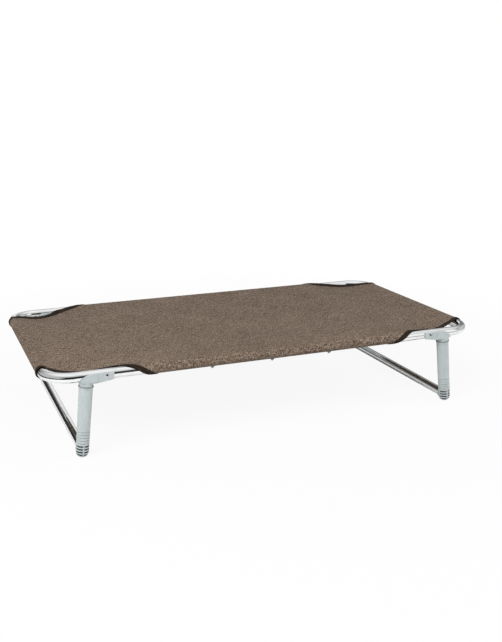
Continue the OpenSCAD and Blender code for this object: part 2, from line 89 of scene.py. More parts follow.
def sum_up(tree, operation, *values):
    """One step of arithmetic in a shader, and its result."""
    return shade(tree, "Math", dict(enumerate(values)), operation=operation).outputs[0]


def beyond(tree, part, limit):
    """How far the size of a coordinate is above a limit: |part| - limit."""
    return sum_up(tree, "SUBTRACT", sum_up(tree, "ABSOLUTE", part), limit)


def place_in(tree):
    """The shaded point's place in the shared frame, in metres."""
    return shade(tree, "TexCoord").outputs["Object"]


def split(tree, vector):
    """The X, Y and Z of a place."""
    return shade(tree, "SeparateXYZ", {0: vector}).outputs


def join(tree, x, y, z=0.0):
    """A place from its three parts."""
    return shade(tree, "CombineXYZ", {0: x, 1: y, 2: z}).outputs[0]


def length(tree, vector):
    """How far a place is from the origin."""
    return shade(tree, "VectorMath", {0: vector}, operation="LENGTH").outputs["Value"]


def stretch(tree, vector, factors):
    """A place with each of its three parts multiplied by its own factor."""
    return shade(tree, "VectorMath", {0: vector, 1: factors}, operation="MULTIPLY").outputs[0]


def noise(tree, vector, scale, detail=2.0, roughness=0.5):
    """Soft noise from 0 to 1, with about this many blobs to the metre."""
    inputs = {"Vector": vector, "Scale": scale, "Detail": detail, "Roughness": roughness}
    return shade(tree, "TexNoise", inputs).outputs["Fac"]


def spread(tree, value, low, high, to_low=0.0, to_high=1.0):
    """Maps low..high to to_low..to_high and holds the ends."""
    inputs = {"Value": value, "From Min": low, "From Max": high, "To Min": to_low, "To Max": to_high}
    return shade(tree, "MapRange", inputs).outputs["Result"]


def tint(tree, share, first, second):
    """Two colours mixed by a share of the second."""
    return shade(tree, "Mix", {0: share, 6: first, 7: second}, data_type="RGBA").outputs[2]


def effect(name, inputs, outputs):
    """A shader node group with named sockets: the group, its inputs' sockets and its output node."""
    group = bpy.data.node_groups.new(name, "ShaderNodeTree")
    for socket, kind in inputs.items():
        group.interface.new_socket(socket, in_out="INPUT", socket_type="NodeSocket" + kind)
    for socket, kind in outputs.items():
        group.interface.new_socket(socket, in_out="OUTPUT", socket_type="NodeSocket" + kind)
    return group, group.nodes.new("NodeGroupInput").outputs, group.nodes.new("NodeGroupOutput")


def put_out(group, output, **sockets):
    """Links the results of a shader node group to its outputs."""
    for name, value in sockets.items():
        group.links.new(value, output.inputs[name])


def use(tree, group, **inputs):
    """Places a shader node group in a tree, sets or links its inputs, and gives its outputs."""
    placed = tree.nodes.new("ShaderNodeGroup")
    placed.node_tree = group
    fill(tree, placed, inputs)
    return placed.outputs


def new_finish(name, **constants):
    """A material with one Principled shader, its constant sockets set: material, tree and shader."""
    made = bpy.data.materials.new(name)
    made.use_nodes = True
    shader = made.node_tree.nodes["Principled BSDF"]
    for socket, value in constants.items():
        shader.inputs[socket.replace("_", " ")].default_value = value
    return made, made.node_tree, shader


def dress(tree, shader, skin, depth, rounding=None):
    """Feeds a skin's Colour, Roughness and Height to the shader. Depth is the bump's height in metres,
    and rounding the radius that softens the light on sharp moulded edges."""
    inputs = {"Height": skin["Height"], "Strength": 1.0, "Distance": depth}
    if rounding:
        inputs["Normal"] = shade(tree, "Bevel", {"Radius": rounding}, samples=6).outputs[0]
    bump = shade(tree, "Bump", inputs).outputs[0]
    fill(tree, shader, {"Base Color": skin["Colour"], "Roughness": skin["Roughness"], "Normal": bump})


def wear(material, *names):
    """Gives CAD nodes a material."""
    for name in names:
        nodes[name].data.materials.clear()
        nodes[name].data.materials.append(material)


# Drawn metal: marks along the piece, which runs in the middle part of Along, and slow dull patches.
drawn_metal, given, out = effect(
    "drawn_metal",
    {"Along": "Vector", "Bright": "Color", "Dull": "Color"},
    {"Colour": "Color", "Roughness": "Float", "Height": "Float"},
)
marks = noise(drawn_metal, stretch(drawn_metal, given["Along"], DRAW_LINES), 1.0, 3.0, 0.6)
patches = noise(drawn_metal, given["Along"], DULL_PATCHES, 4.0)
dulled = spread(drawn_metal, patches, 0.48, 0.78)
rough = sum_up(drawn_metal, "MULTIPLY_ADD", marks, 0.06, 0.04)
put_out(
    drawn_metal,
    out,
    Colour=tint(drawn_metal, dulled, given["Bright"], given["Dull"]),
    Roughness=sum_up(drawn_metal, "MULTIPLY_ADD", dulled, 0.06, rough),
    Height=marks,
)

# On the loop the marks follow the rounded rectangle: across is the distance from the rectangle that has
# the centres of the bends for its corners.
loop_metal, tree, shader = new_finish("polished_loop_tube", Metallic=1.0)
parts = split(tree, place_in(tree))
past_x = sum_up(tree, "MAXIMUM", beyond(tree, parts["X"], RAIL_X - CORNER_R), 0)
past_y = sum_up(tree, "MAXIMUM", beyond(tree, parts["Y"], RAIL_Y - CORNER_R), 0)
across = length(tree, join(tree, past_x, past_y))
along = sum_up(tree, "ADD", parts["X"], parts["Y"])
route = join(tree, across, along, parts["Z"])
skin = use(tree, drawn_metal, Along=route, Bright=BRIGHT_METAL, Dull=DULL_METAL)
dress(tree, shader, skin, DRAW_DEPTH)
wear(loop_metal, "frame_tube_left", "frame_tube_right")

bar_metal, tree, shader = new_finish("polished_floor_bar", Metallic=1.0)
skin = use(tree, drawn_metal, Along=place_in(tree), Bright=BRIGHT_METAL, Dull=DULL_METAL)
dress(tree, shader, skin, DRAW_DEPTH)
wear(bar_metal, "crossbar_left", "crossbar_right")

# Splices
# A plain aluminium sleeve sits inside each butt joint of the loop, held by two
# zinc-plated blind rivets from the inner side. The cover hides all of it.

SLEEVE_BRIGHT = (0.72, 0.73, 0.74, 1)
SLEEVE_DULL = (0.55, 0.56, 0.57, 1)
SLEEVE_STRETCH, SLEEVE_DEPTH = (0.01, 100, 1), 0.00002
ZINC_BRIGHT = (0.62, 0.63, 0.64, 1)
ZINC_DULL = (0.42, 0.43, 0.44, 1)
ZINC_STRETCH, ZINC_DEPTH = (0.4, 30, 0.4), 0.00003

# The sleeves lie along x, so the stretch turns the draw marks that way.
sleeve_metal, tree, shader = new_finish("mill_finish_sleeve", Metallic=1.0)
place = stretch(tree, place_in(tree), SLEEVE_STRETCH)
skin = use(tree, drawn_metal, Along=place, Bright=SLEEVE_BRIGHT, Dull=SLEEVE_DULL)
dress(tree, shader, skin, SLEEVE_DEPTH)
wear(sleeve_metal, "splice_sleeve_front", "splice_sleeve_rear")

# On the zinc the stretch makes them a blotch of a few millimetres instead.
rivet_metal, tree, shader = new_finish("zinc_rivet", Metallic=1.0)
place = stretch(tree, place_in(tree), ZINC_STRETCH)
skin = use(tree, drawn_metal, Along=place, Bright=ZINC_BRIGHT, Dull=ZINC_DULL)
dress(tree, shader, skin, ZINC_DEPTH)
wear(rivet_metal, "splice_rivets")

# Cover
# One piece of woven taupe melange is stretched over all four rails, wrapped
# round them and hemmed underneath. Each corner is cut out in a long S-curve,
# and the free edge there hangs a little below the tube.

CLOTH_T, TUBE_GAP = 0.0012, 0.0003
WRAP_R = TUBE_R + TUBE_GAP + CLOTH_T / 2
HEM_TURN = math.radians(210)
HEM = WRAP_R * HEM_TURN
END_EDGE_Y = 0.2465
END_HANDLE, LONG_HANDLE = (0.5445, 0.2775), (0.4895, 0.2885)
FLAP_TOP_X, FLAP_BOTTOM_X, FLAP_TAIL = 0.3995, 0.3345, 0.006
TAPE_W = 0.012
SEAM_INSET, SEAM_RAMP = 0.92 * TAPE_W, 0.016
SAG, DRAPE = 0.009, 0.0007
DIP_START_X, DIP_FADE = 0.39, 0.09
REAR_RIGHT_DIP, FRONT_RIGHT_DIP = 0.008, 0.012
REAR_LEFT_DIP, FRONT_LEFT_DIP = 0.0155, 0.0125
EDGE_HANG, HANG_FADE = 0.004, 0.01
EDGE_STAND, STAND_FADE = 0.0065, 0.008
pivots = {joint["name"]: joint["pos_m"] for joint in frame["joints"]}
PIVOT_X = pivots["right_leg_fold"][0]
NOSE_R, CHEEK_RISE = 0.0065, 0.004
CHEEK_ROOM, CHEEK_SIDE_ROOM = 0.0018, 0.0022
CHEEK_Y = node_box("leg_bracket_rear_right")[0][1] - CHEEK_SIDE_ROOM
CHEEK_STATIONS = np.array([-0.022, -0.0075, 0.0075, 0.0185, 0.033])
FREE_DROP = 0.03


def distance_along(path):
    """The distance from a path's first point to each of its points."""
    return np.concatenate([[0], np.cumsum(np.linalg.norm(np.diff(path, axis=0), axis=1))])


def cutout_edge():
    """The edge of a corner cut-out in the flat cloth, from the end rail's hem to the long rail's hem:
    straight up the end flap, a cubic curve across the corner, then slanting down the long flap, with
    even steps and a running mean of seven points that rounds its turns."""
    t = np.linspace(0, 1, 90)[:, None]
    p = np.array([(RAIL_X, END_EDGE_Y), END_HANDLE, LONG_HANDLE, (FLAP_TOP_X, RAIL_Y)])
    curve = (1 - t) ** 3 * p[0] + 3 * (1 - t) ** 2 * t * p[1] + 3 * (1 - t) * t**2 * p[2] + t**3 * p[3]
    flap = np.linspace([RAIL_X + HEM, END_EDGE_Y], p[0], 28)[:-1]
    under = RAIL_Y + WRAP_R * math.pi
    slant = np.linspace(p[3], [FLAP_BOTTOM_X, under], 40)[1:]
    tail = np.linspace([FLAP_BOTTOM_X, under], [FLAP_BOTTOM_X - FLAP_TAIL, RAIL_Y + HEM], 6)[1:]
    path = np.concatenate([flap, curve, slant, tail])
    run = distance_along(path)
    even = np.linspace(0, run[-1], 330)
    path = np.stack([np.interp(even, run, path[:, i]) for i in (0, 1)], axis=1)
    weights = np.array([1, 3, 5, 6, 5, 3, 1]) / 24
    longer = np.pad(path, ((3, 3), (0, 0)), "edge")
    soft = np.stack([np.convolve(longer[:, i], weights, "valid") for i in (0, 1)], axis=1)
    soft[0], soft[-1] = path[0], path[-1]
    return soft


def inward(path):
    """Unit vectors square to a flat path, pointing into the cloth."""
    way = np.gradient(path, axis=0)
    side = np.stack([-way[:, 1], way[:, 0]], axis=1)
    return side / np.linalg.norm(side, axis=1, keepdims=True)


edge = cutout_edge()
seam = edge + SEAM_INSET * inward(edge)


def half_width(u):
    """Half the cloth's flat width at a distance u from the middle: the seam with the binding tape,
    widening to the full flap within 16 mm of its lower end."""
    order = np.argsort(seam[:, 0])
    stations = np.append(seam[order[0], 0] - SEAM_RAMP, seam[order, 0])
    return np.interp(np.abs(u), stations, np.append(RAIL_Y + HEM, seam[order, 1]))


def edge_width(u):
    """The same for the cut-out's own edge, under the tape."""
    order = np.argsort(edge[:, 0])
    return np.interp(np.abs(u), edge[order, 0], edge[order, 1], left=RAIL_Y + HEM)


def soft_least(a, b):
    """The smaller of two depths, with no crease where they meet: (a^-4 + b^-4)^(-1/4)."""
    return (np.maximum(a, 1e-9) ** -4 + np.maximum(b, 1e-9) ** -4) ** -0.25


def hug(distance):
    """How far a cloth that hugs the tube has dropped at a distance inside the rail's axis: the drop of a
    circle, and past nearly all of its radius a steep slope on down."""
    limit = 0.98 * WRAP_R
    inside = np.clip(distance, 0, limit)
    return WRAP_R - np.sqrt(WRAP_R**2 - inside**2) + 4 * np.maximum(distance - limit, 0)


def on_bracket(u, v):
    """How far the cloth may drop where it lies on a leg bracket's inner cheek: to 1.8 mm above the round
    nose about the pivot and the lower edge beyond it, and steeply on past the cheek's ends and face."""
    nose = WRAP_R - NOSE_R - CHEEK_ROOM
    cheek = WRAP_R - CHEEK_RISE - CHEEK_ROOM
    drops = [FREE_DROP, nose, nose, cheek, FREE_DROP]
    on_top = np.interp(np.abs(u), PIVOT_X + CHEEK_STATIONS, drops)
    return on_top + 3 * np.maximum(CHEEK_Y - np.abs(v), 0)


def corner_dip(u, v):
    """Depth of the free edge below the tube's top: a bump along the cut-out that fades into the panel and
    never cuts into a rail or a bracket. The bound edge stands up from the panel at the rear and hangs
    from it at the front, and the front left bump stays full past its deepest point."""
    left, front = u < 0, v < 0
    left_dip = np.where(front, FRONT_LEFT_DIP, REAR_LEFT_DIP)
    deep = np.where(left, left_dip, np.where(front, FRONT_RIGHT_DIP, REAR_RIGHT_DIP))
    along = np.clip((np.abs(u) - DIP_START_X) / (RAIL_X - DIP_START_X), 0, 1)
    lean = np.where(front & ~left, 0.8, 1.25)
    past_deepest = along > 0.57
    fullness = np.where(front & left & past_deepest, 0.7, 1.5)
    bump = np.sin(math.pi * along**lean) ** fullness
    inside = np.maximum(edge_width(u) - np.abs(v), 0)
    hang = EDGE_HANG * bump * np.exp(-inside / HANG_FADE)
    stand = EDGE_STAND * np.sin(math.pi * along**0.6) ** 0.9 * (1 - np.exp(-inside / STAND_FADE))
    dip = (deep * bump + np.where(front, hang, stand)) * np.exp(-((inside / DIP_FADE) ** 1.6))
    dip = soft_least(dip, on_bracket(u, v))
    return soft_least(soft_least(dip, hug(RAIL_Y - np.abs(v))), hug(RAIL_X - np.abs(u)))


def cloth(u, v):
    """Place of a point of the flat cloth: flat between the rails less the sag, the corner dips and a
    faint drape, and beyond a rail's axis carried round the rail on a circle."""
    over_u = np.maximum(np.abs(u) - RAIL_X, 0) / WRAP_R
    over_v = np.maximum(np.abs(v) - RAIL_Y, 0) / WRAP_R
    x = np.sign(u) * (np.minimum(np.abs(u), RAIL_X) + WRAP_R * np.sin(over_u))
    y = np.sign(v) * (np.minimum(np.abs(v), RAIL_Y) + WRAP_R * np.sin(over_v))
    z = RAIL_Z + WRAP_R * (np.cos(over_u) + np.cos(over_v) - 1)
    in_u = np.clip(1 - (u / RAIL_X) ** 2, 0, 1)
    in_v = np.clip(1 - (v / RAIL_Y) ** 2, 0, 1)
    drape = DRAPE * np.sin(21 * u + 7 * v + 0.6) * np.sin(17 * v - 5 * u + 1.1)
    z = z - (SAG * in_u**0.8 + drape * np.sqrt(in_u)) * in_v - corner_dip(u, v)
    return np.stack([x, y, z], axis=-1)


def cloth_normal(u, v, step=2e-5):
    """Unit normal of the cloth, away from the rails, from the slopes along and across it."""
    along = cloth(u + step, v) - cloth(u - step, v)
    across = cloth(u, v + step) - cloth(u, v - step)
    normal = np.cross(along, across)
    return normal / np.linalg.norm(normal, axis=-1, keepdims=True)


def build(name, points, faces, uv, body):
    """A smooth mesh object from points, faces of point numbers, and each point's flat place in metres."""
    mesh = bpy.data.meshes.new(name)
    mesh.from_pydata(points.reshape(-1, 3).tolist(), [], [list(face) for face in faces])
    corners = np.empty(len(mesh.loops), np.int32)
    mesh.loops.foreach_get("vertex_index", corners)
    layer = mesh.uv_layers.new(name="flat")
    layer.data.foreach_set("uv", uv.reshape(-1, 2)[corners].astype(np.float32).ravel())
    mesh.polygons.foreach_set("use_smooth", np.ones(len(mesh.polygons), bool))
    mesh.update()
    made = bpy.data.objects.new(name, mesh)
    bpy.context.scene.collection.objects.link(made)
    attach(made, body)
    return made


def grid_faces(rows, columns, closed=False):
    """Four-cornered faces of a grid of points, the columns joined into a ring where it is closed."""
    across = columns if closed else columns - 1
    i, j = np.meshgrid(np.arange(rows - 1), np.arange(across), indexing="ij")
    k = (j + 1) % columns
    here, below = i * columns, (i + 1) * columns
    return np.stack([here + j, below + j, below + k, here + k], axis=-1).reshape(-1, 4)


def mirrored(values):
    """The values and their negatives, from the lowest up."""
    return np.concatenate([-values[::-1], values[values > 0]])


# The grid is fine at the cut-outs and round the rails, and coarse in the middle.
u_stations = mirrored(
    np.concatenate(
        [
            np.linspace(0, 0.3, 25)[:-1],
            np.linspace(0.3, 0.41, 52)[:-1],
            np.linspace(0.41, 0.565, 28)[:-1],
            np.linspace(0.565, RAIL_X, 7)[:-1],
            np.linspace(RAIL_X, RAIL_X + HEM, 22),
        ]
    )
)
v_shares = mirrored(np.concatenate([np.linspace(0, 0.78, 30)[:-1], np.linspace(0.78, 1, 32)]))
flat_u = np.repeat(u_stations[:, None], len(v_shares), axis=1)
flat_v = half_width(flat_u) * v_shares
cover = build(
    "cover",
    cloth(flat_u, flat_v),
    grid_faces(len(u_stations), len(v_shares)),
    np.stack([flat_u, flat_v], axis=-1),
    "frame",
)
thicken = cover.modifiers.new("cloth_thickness", "SOLIDIFY")
thicken.thickness = CLOTH_T
thicken.offset = 0
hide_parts("fabric_cover")

STITCH, HEM_STITCHES = 0.0038, 0.008
THREAD_R, THREAD_EDGE, PULL_REACH = 0.00028, 0.00042, 0.0016
YARN, WEAVE_DEPTH = 0.00135, 0.00015
WARP_SLUBS, WEFT_SLUBS = (0.9, 0.16, 1), (0.13, 1.7, 1)
FLECKS, CLOUDS = (340, 150, 1), 9
DARK_YARN = (0.050, 0.0345, 0.0245, 1)
MIDDLE_YARN = (0.176, 0.127, 0.095, 1)
LIGHT_YARN = (0.370, 0.295, 0.230, 1)
HEM_THREAD = (0.055, 0.042, 0.034, 1)

# A line of stitches: dashes of thread along a line, from the distance along it and from it.
stitch_line, given, out = effect(
    "stitch_line", {"Along": "Float", "Off": "Float"}, {"Thread": "Float", "Height": "Float"}
)
beat = sum_up(stitch_line, "FRACT", sum_up(stitch_line, "DIVIDE", given["Along"], STITCH))
from_middle = sum_up(stitch_line, "ABSOLUTE", sum_up(stitch_line, "SUBTRACT", beat, 0.5))
dash = spread(stitch_line, from_middle, 0.36, 0.42, 1.0, 0.0)
off_line = sum_up(stitch_line, "ABSOLUTE", given["Off"])
beside = spread(stitch_line, off_line, THREAD_R, THREAD_EDGE, 1.0, 0.0)
thread = sum_up(stitch_line, "MULTIPLY", dash, beside)
pull = spread(stitch_line, off_line, 0.0, PULL_REACH, -0.6, 0.0)
raised = sum_up(stitch_line, "MULTIPLY_ADD", thread, 1.2, pull)
put_out(stitch_line, out, Thread=thread, Height=raised)

# Melange weave: two sets of yarns that pass over each other, each yarn with its own slubs and tone.
melange_weave, given, out = effect(
    "melange_weave",
    {"Flat": "Vector", "Dark": "Color", "Middle": "Color", "Light": "Color"},
    {"Colour": "Color", "Roughness": "Float", "Height": "Float"},
)
yarns = stretch(melange_weave, given["Flat"], (1 / YARN, 1 / YARN, 0))
yarn = split(melange_weave, yarns)
wave_u = sum_up(melange_weave, "SINE", sum_up(melange_weave, "MULTIPLY", yarn["X"], math.pi))
wave_v = sum_up(melange_weave, "SINE", sum_up(melange_weave, "MULTIPLY", yarn["Y"], math.pi))
warp_on_top = spread(melange_weave, sum_up(melange_weave, "MULTIPLY", wave_u, wave_v), -0.12, 0.12)
round_u = sum_up(melange_weave, "ABSOLUTE", wave_u)
round_v = sum_up(melange_weave, "ABSOLUTE", wave_v)
warp_number = sum_up(melange_weave, "FLOOR", yarn["X"])
weft_number = sum_up(melange_weave, "FLOOR", yarn["Y"])
warp_place = join(melange_weave, warp_number, yarn["Y"], 3.0)
weft_place = join(melange_weave, yarn["X"], weft_number, 9.0)
warp_tone = noise(melange_weave, stretch(melange_weave, warp_place, WARP_SLUBS), 1.0, 2.0, 0.65)
weft_tone = noise(melange_weave, stretch(melange_weave, weft_place, WEFT_SLUBS), 1.0, 2.0, 0.65)
tone = shade(melange_weave, "Mix", {0: warp_on_top, 2: weft_tone, 3: warp_tone}).outputs[0]
flecks = noise(melange_weave, stretch(melange_weave, given["Flat"], FLECKS), 1.0, 2.0, 0.6)
cloud = noise(melange_weave, given["Flat"], CLOUDS, 3.0)
mixed = sum_up(melange_weave, "MULTIPLY", tone, 0.9)
mixed = sum_up(melange_weave, "MULTIPLY_ADD", flecks, 0.3, mixed)
mixed = sum_up(melange_weave, "MULTIPLY_ADD", cloud, 0.06, mixed)
mellow = spread(melange_weave, mixed, 0.545, 0.735)
to_middle = spread(melange_weave, mellow, 0.0, 0.5)
to_light = spread(melange_weave, mellow, 0.5, 1.0)
yarn_colour = tint(melange_weave, to_middle, given["Dark"], given["Middle"])
yarn_colour = tint(melange_weave, to_light, yarn_colour, given["Light"])
height = shade(melange_weave, "Mix", {0: warp_on_top, 2: round_v, 3: round_u}).outputs[0]
# Painted shade: where the yarns dip between each other, the colour goes toward the dark yarn.
gap_shade = spread(melange_weave, height, 0.0, 0.5, 0.45, 0.0)
put_out(
    melange_weave,
    out,
    Colour=tint(melange_weave, gap_shade, yarn_colour, given["Dark"]),
    Roughness=spread(melange_weave, tone, 0.3, 0.7, 0.78, 0.94),
    Height=height,
)

cover_fabric, tree, shader = new_finish("taupe_melange", Specular_IOR_Level=0.15)
flat = shade(tree, "UVMap", uv_map="flat").outputs["UV"]
weave = use(tree, melange_weave, Flat=flat, Dark=DARK_YARN, Middle=MIDDLE_YARN, Light=LIGHT_YARN)
parts = split(tree, flat)
off_v = beyond(tree, parts["Y"], RAIL_Y + HEM - HEM_STITCHES)
off_u = beyond(tree, parts["X"], RAIL_X + HEM - HEM_STITCHES)
long_hem = use(tree, stitch_line, Along=parts["X"], Off=off_v)
end_hem = use(tree, stitch_line, Along=parts["Y"], Off=off_u)
hem_thread = sum_up(tree, "MAXIMUM", long_hem["Thread"], end_hem["Thread"])
hem_height = sum_up(tree, "ADD", long_hem["Height"], end_hem["Height"])
colour = tint(tree, hem_thread, weave["Colour"], HEM_THREAD)
relief = sum_up(tree, "MULTIPLY_ADD", hem_height, 1.5, weave["Height"])
bump = shade(tree, "Bump", {"Height": relief, "Strength": 0.8, "Distance": WEAVE_DEPTH}).outputs[0]
fill(tree, shader, {"Base Color": colour, "Roughness": weave["Roughness"], "Normal": bump})
cover.data.materials.append(cover_fabric)

# Corner bindings
# A dark brown ribbed tape is folded over the raw edge of each cut-out and sewn
# through with two rows of stitches. It runs from hem to hem, over both rails.

TAPE_MIDDLE, TAPE_REACH = 0.00565, 0.00635
TAPE_LIFT, TAPE_RISE = 0.0009, 0.0015
OUTER_ROW, INNER_ROW = 0.0030, 0.0092
UNDERSIDE = 0.02
RIB, TAPE_DEPTH = 0.0011, 0.00018
FUZZ, TAPE_PATCHES = (900, 300, 1), 40
DARK_TAPE = (0.008, 0.0055, 0.004, 1)
LIGHT_TAPE = (0.034, 0.023, 0.017, 1)
TAPE_THREAD = (0.060, 0.043, 0.033, 1)


def tape_profile(count):
    """Half-flattened oval round the cloth's edge, (into the cloth, above it): a superellipse 12.7 mm wide
    and 3 mm thick, its middle 5.65 mm into the cloth and 0.9 mm above its mid-surface."""
    turn = np.linspace(0, 2 * math.pi, count, endpoint=False)
    reach = np.sign(np.cos(turn)) * np.abs(np.cos(turn)) ** 0.55
    rise = np.sign(np.sin(turn)) * np.abs(np.sin(turn)) ** 0.7
    return TAPE_MIDDLE + TAPE_REACH * reach, TAPE_LIFT + TAPE_RISE * rise


def bind(name, end, side, node):
    """The tape's profile carried along the cut-out's edge in the flat cloth, laid on the cloth and lifted
    along its normal; end and side are the corner's signs in x and y. Its flat places are the distance
    along the edge and into the cloth, and on the underside a shifted negative of that."""
    into, above = tape_profile(22)
    square = inward(edge)
    u = end * (edge[:, 0, None] + into * square[:, 0, None])
    v = side * (edge[:, 1, None] + into * square[:, 1, None])
    points = cloth(u, v) + above[None, :, None] * cloth_normal(u, v)
    run = distance_along(edge)
    over = np.where(above > TAPE_LIFT, into, -into - UNDERSIDE)
    uv = np.stack(np.broadcast_arrays(run[:, None], over[None, :]), axis=-1)
    count = len(into)
    faces = grid_faces(len(edge), count, closed=True).tolist()
    faces.append(list(range(count)))
    faces.append(list(range((len(edge) - 1) * count, len(edge) * count))[::-1])
    if end * side > 0:
        faces = [face[::-1] for face in faces]
    made = build(name, points, faces, uv, "frame")
    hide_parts(node)
    return made


bindings = [
    bind("tape_front_left", -1, -1, "binding_front_left"),
    bind("tape_front_right", 1, -1, "binding_front_right"),
    bind("tape_rear_left", -1, 1, "binding_rear_left"),
    bind("tape_rear_right", 1, 1, "binding_rear_right"),
]

tape_cloth, tree, shader = new_finish("ribbed_brown_tape", Specular_IOR_Level=0.10)
flat = shade(tree, "UVMap", uv_map="flat").outputs["UV"]
parts = split(tree, flat)
ribs = sum_up(tree, "SINE", sum_up(tree, "MULTIPLY", parts["X"], 2 * math.pi / RIB))
fuzz = noise(tree, stretch(tree, flat, FUZZ), 1.0, 3.0, 0.65)
slow = noise(tree, flat, TAPE_PATCHES)
off_outer = sum_up(tree, "SUBTRACT", parts["Y"], OUTER_ROW)
off_inner = sum_up(tree, "SUBTRACT", parts["Y"], INNER_ROW)
row_out = use(tree, stitch_line, Along=parts["X"], Off=off_outer)
row_in = use(tree, stitch_line, Along=parts["X"], Off=off_inner)
thread = sum_up(tree, "MAXIMUM", row_out["Thread"], row_in["Thread"])
# The ribs also tint the tone, lighter on their crests and darker in their valleys: painted shade that
# follows the ribs' bump.
tone = sum_up(tree, "MULTIPLY_ADD", ribs, 0.08, sum_up(tree, "MULTIPLY", slow, 0.3))
tone = sum_up(tree, "MULTIPLY_ADD", fuzz, 0.7, tone)
brown = tint(tree, spread(tree, tone, 0.30, 0.72), DARK_TAPE, LIGHT_TAPE)
colour = tint(tree, thread, brown, TAPE_THREAD)
matt = spread(tree, fuzz, 0.3, 0.7, 0.62, 0.85)
stitches = sum_up(tree, "ADD", row_out["Height"], row_in["Height"])
relief = sum_up(tree, "MULTIPLY_ADD", ribs, 0.5, stitches)
bump = shade(tree, "Bump", {"Height": relief, "Strength": 0.8, "Distance": TAPE_DEPTH}).outputs[0]
fill(tree, shader, {"Base Color": colour, "Roughness": matt, "Normal": bump})
for tape in bindings:
    tape.data.materials.append(tape_cloth)

# Legs and their brackets
# Brackets and legs are injection moulded in pale blue-grey plastic with a satin
# spark-eroded skin. The feet are scuffed and a little dusty near the floor, and
# the slots in the feet are painted near black as shade.

LEG_X, LEG_LEAN = 0.494, math.radians(6)
LEG_R, LEG_TOP_Z = 0.0165, 0.1758
FOOT_R, FOOT_FLAT = 0.01575, 0.0012
RECESS_END, RECESS_FADE = LEG_TOP_Z - 0.012, 0.004
GRAIN, CLOUDING = 1500, 30
FLOW, FLOW_STRETCH = 190, (1, 1, 0.15)
SCRATCHES, SCRATCH_STRETCH = 260, (1, 1, 5)
LEG_GREY = (0.432, 0.480, 0.482, 1)
LEG_PALE = (0.492, 0.538, 0.540, 1)
SCUFF = (0.46, 0.47, 0.46, 1)
SCUFF_FULL_Z, SCUFF_END_Z = 0.004, 0.05
# Painted shade in the feet's slots: it starts 0.5 mm under the skin and is near black by 2.6 mm.
RECESS_SHADE = (0.022, 0.023, 0.023, 1)
RECESS_SHADE_FROM, RECESS_SHADE_FULL = 0.0005, 0.0026

# Moulded skin: fine grain, slow clouding, and scuffs that lighten and roughen it.
moulded_skin, given, out = effect(
    "moulded_skin",
    {"Place": "Vector", "Deep": "Color", "Pale": "Color", "Scuffs": "Float"},
    {"Colour": "Color", "Roughness": "Float", "Height": "Float"},
)
grain = noise(moulded_skin, given["Place"], GRAIN, 2.0, 0.6)
cloud = noise(moulded_skin, given["Place"], CLOUDING, 3.0)
flow = noise(moulded_skin, stretch(moulded_skin, given["Place"], FLOW_STRETCH), FLOW)
scratch = noise(moulded_skin, stretch(moulded_skin, given["Place"], SCRATCH_STRETCH), SCRATCHES, 4.0, 0.7)
scratched = spread(moulded_skin, scratch, 0.56, 0.70)
scuffed = sum_up(moulded_skin, "MULTIPLY", scratched, given["Scuffs"])
share = sum_up(moulded_skin, "MULTIPLY", cloud, 0.6)
share = sum_up(moulded_skin, "MULTIPLY_ADD", flow, 0.4, share)
share = spread(moulded_skin, share, 0.35, 0.65)
skin_colour = tint(moulded_skin, share, given["Deep"], given["Pale"])
satin = sum_up(moulded_skin, "MULTIPLY_ADD", grain, 0.16, 0.34)
put_out(
    moulded_skin,
    out,
    Colour=tint(moulded_skin, scuffed, skin_colour, SCUFF),
    Roughness=sum_up(moulded_skin, "MULTIPLY_ADD", scuffed, 0.25, satin),
    Height=grain,
)

# Foot recesses: how far a point lies under the leg's round skin, from the distance to its leaning axis.
# The leg's material paints shade into the slots and recesses by this depth.
foot_recess, given, out = effect("foot_recess", {"Place": "Vector"}, {"Depth": "Float"})
parts = split(foot_recess, given["Place"])
slope = math.tan(LEG_LEAN)
axis_x = sum_up(foot_recess, "MULTIPLY_ADD", parts["Z"], -slope, LEG_X + RAIL_Z * slope)
off_x = beyond(foot_recess, parts["X"], axis_x)
off_y = beyond(foot_recess, parts["Y"], RAIL_Y)
above_ball = sum_up(foot_recess, "SUBTRACT", parts["Z"], FOOT_R - FOOT_FLAT)
off_z = sum_up(foot_recess, "MINIMUM", above_ball, 0)
reach = length(foot_recess, join(foot_recess, off_x, off_y, off_z))
skin_r = spread(foot_recess, parts["Z"], FOOT_R, LEG_TOP_Z, FOOT_R, LEG_R)
under_skin = sum_up(foot_recess, "SUBTRACT", skin_r, reach)
low_part = spread(foot_recess, parts["Z"], RECESS_END, RECESS_END + RECESS_FADE, 1.0, 0.0)
put_out(foot_recess, out, Depth=sum_up(foot_recess, "MULTIPLY", under_skin, low_part))

leg_plastic, tree, shader = new_finish("satin_grey_moulding", IOR=1.46)
place = place_in(tree)
floor_near = spread(tree, split(tree, place)["Z"], SCUFF_FULL_Z, SCUFF_END_Z, 1.0, 0.06)
skin = use(tree, moulded_skin, Place=place, Deep=LEG_GREY, Pale=LEG_PALE, Scuffs=floor_near)
dress(tree, shader, skin, depth=0.00003, rounding=0.0007)
# Painted shade: the foot's slots and recesses are darkened to near black by their depth under the skin.
recess = use(tree, foot_recess, Place=place)["Depth"]
recess_shade = spread(tree, recess, RECESS_SHADE_FROM, RECESS_SHADE_FULL, 0.0, 0.94)
fill(tree, shader, {"Base Color": tint(tree, recess_shade, skin["Colour"], RECESS_SHADE)})
corners = [f"{side}_{end}" for side in ("front", "rear") for end in ("left", "right")]
wear(leg_plastic, *[f"leg_bracket_{corner}" for corner in corners])
wear(leg_plastic, *[f"leg_{corner}" for corner in corners])

# Collar rings
# A mid-grey rubber ring is trapped between each bracket's neck and its leg,
# where it takes up the play of the push fit.

RING_DEEP = (0.185, 0.195, 0.200, 1)
RING_PALE = (0.25, 0.262, 0.268, 1)

